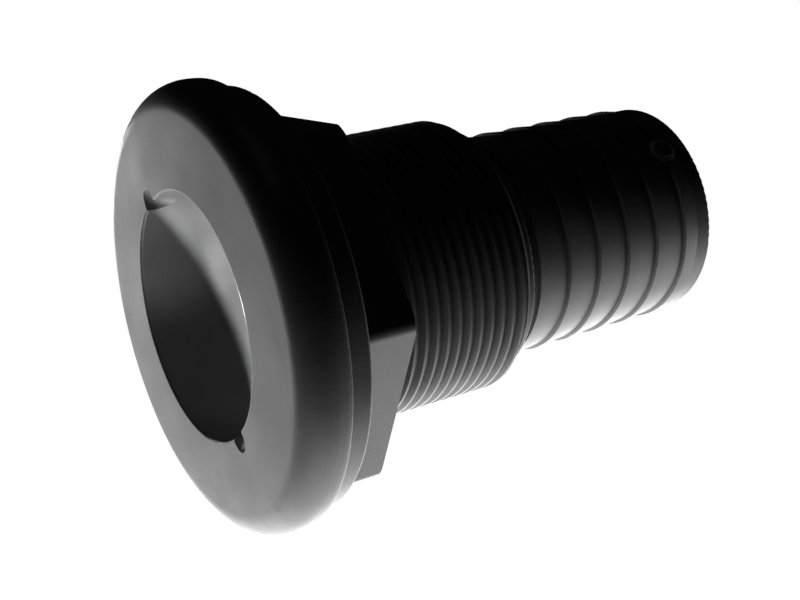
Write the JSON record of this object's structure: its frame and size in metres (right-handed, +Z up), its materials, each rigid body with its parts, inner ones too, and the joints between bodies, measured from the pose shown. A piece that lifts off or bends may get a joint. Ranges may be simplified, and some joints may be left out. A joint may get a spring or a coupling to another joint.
{
  "type": "thru hull fitting",
  "caption": "Flanged moulded through-hull fitting with a threaded shank, a barbed hose tail, a slip washer and a hexagonal lock nut.",
  "frame": {"origin": "on the fitting's axis, in the plane of the flange's rear face, which seats against the outside of the hull", "axes": "+X along the fitting's axis from the flange through the hull to the end of the hose tail, +Z up, +Y to the left when looking along +X"},
  "size_m": [0.0936, 0.075, 0.075],
  "materials": {
    "body_plastic": "satin moulded",
    "washer_plastic": "satin moulded",
    "nut_plastic": "satin moulded"
  },
  "bodies": {
    "body": {"fitting_body": "body_plastic"},
    "washer": {"slip_washer": "washer_plastic"},
    "nut": {"lock_nut": "nut_plastic"}
  },
  "joints": [
    {"name": "washer_slide", "type": "slide", "parent": "body", "child": "washer", "axis": [1, 0, 0], "range_m": [0, 0.02541]},
    {"name": "nut_spin", "type": "hinge", "parent": "washer", "child": "nut", "pos_m": [0, 0, 0], "axis": [1, 0, 0], "range_deg": [0, 4320]}
  ],
  "couplings": [
    {"joint": "washer_slide", "follows": "nut_spin", "m_per_rad": 0.00033688}
  ]
}
